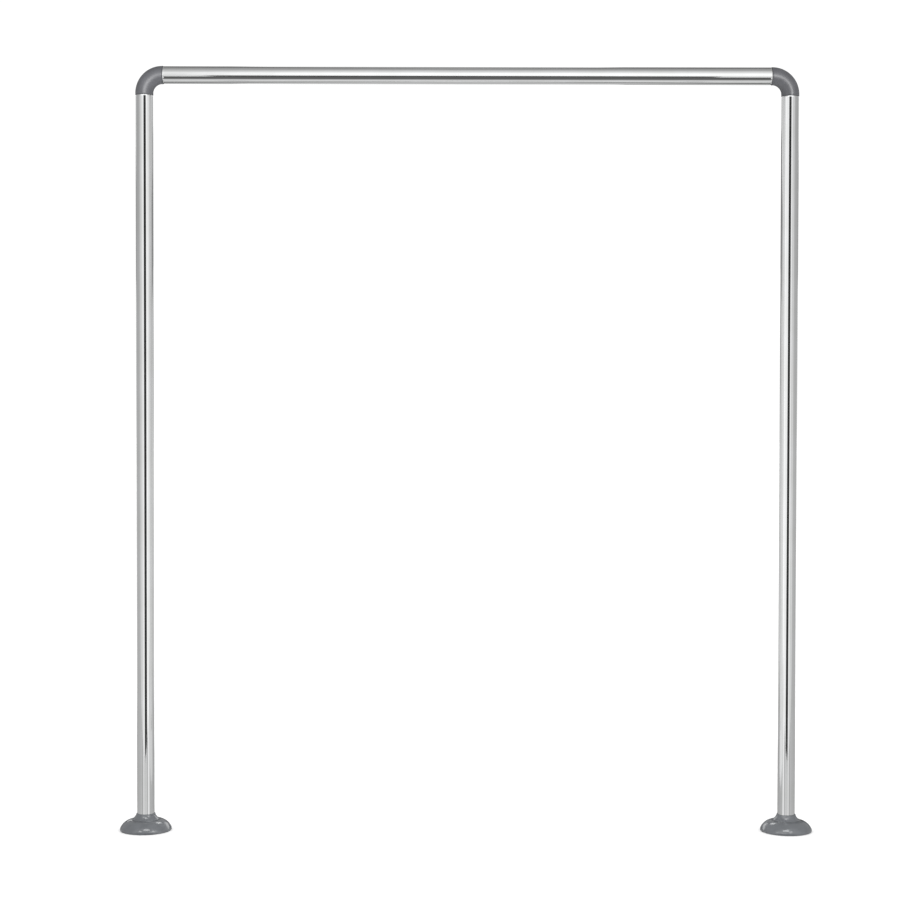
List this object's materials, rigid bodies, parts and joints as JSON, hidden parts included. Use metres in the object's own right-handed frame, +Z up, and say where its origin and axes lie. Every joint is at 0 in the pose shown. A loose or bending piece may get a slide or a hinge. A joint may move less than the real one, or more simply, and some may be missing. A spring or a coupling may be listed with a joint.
{
  "type": "upright support rail",
  "caption": "Upright inverted-U support rail: straight bright tubes joined by grey moulded right-angle elbows, on round base plates under sliding domed flange covers.",
  "frame": {"origin": "on the floor plane, midway between the legs, in the plane of the rail", "axes": "+X across the rail from the left leg to the right leg, +Y away from the viewer, +Z up the legs"},
  "size_m": [0.8832, 0.0652, 0.9715],
  "materials": {
    "chrome_tube": "polished",
    "grey_moulding": "satin gloss",
    "cast_plate": "as cast, lightly blasted",
    "screw_steel": "zinc plated"
  },
  "bodies": {
    "rail": {"left_leg_tube": "chrome_tube", "left_elbow": "grey_moulding", "left_base_plate": "cast_plate", "left_grub_screw": "screw_steel", "right_leg_tube": "chrome_tube", "right_elbow": "grey_moulding", "right_base_plate": "cast_plate", "right_grub_screw": "screw_steel", "top_tube": "chrome_tube"},
    "left_cover": {"left_flange_cover": "grey_moulding"},
    "right_cover": {"right_flange_cover": "grey_moulding"}
  },
  "joints": [
    {"name": "left_cover_slide", "type": "slide", "parent": "rail", "child": "left_cover", "axis": [0, 0, 1], "range_m": [0, 0.912]},
    {"name": "right_cover_slide", "type": "slide", "parent": "rail", "child": "right_cover", "axis": [0, 0, 1], "range_m": [0, 0.912]}
  ]
}
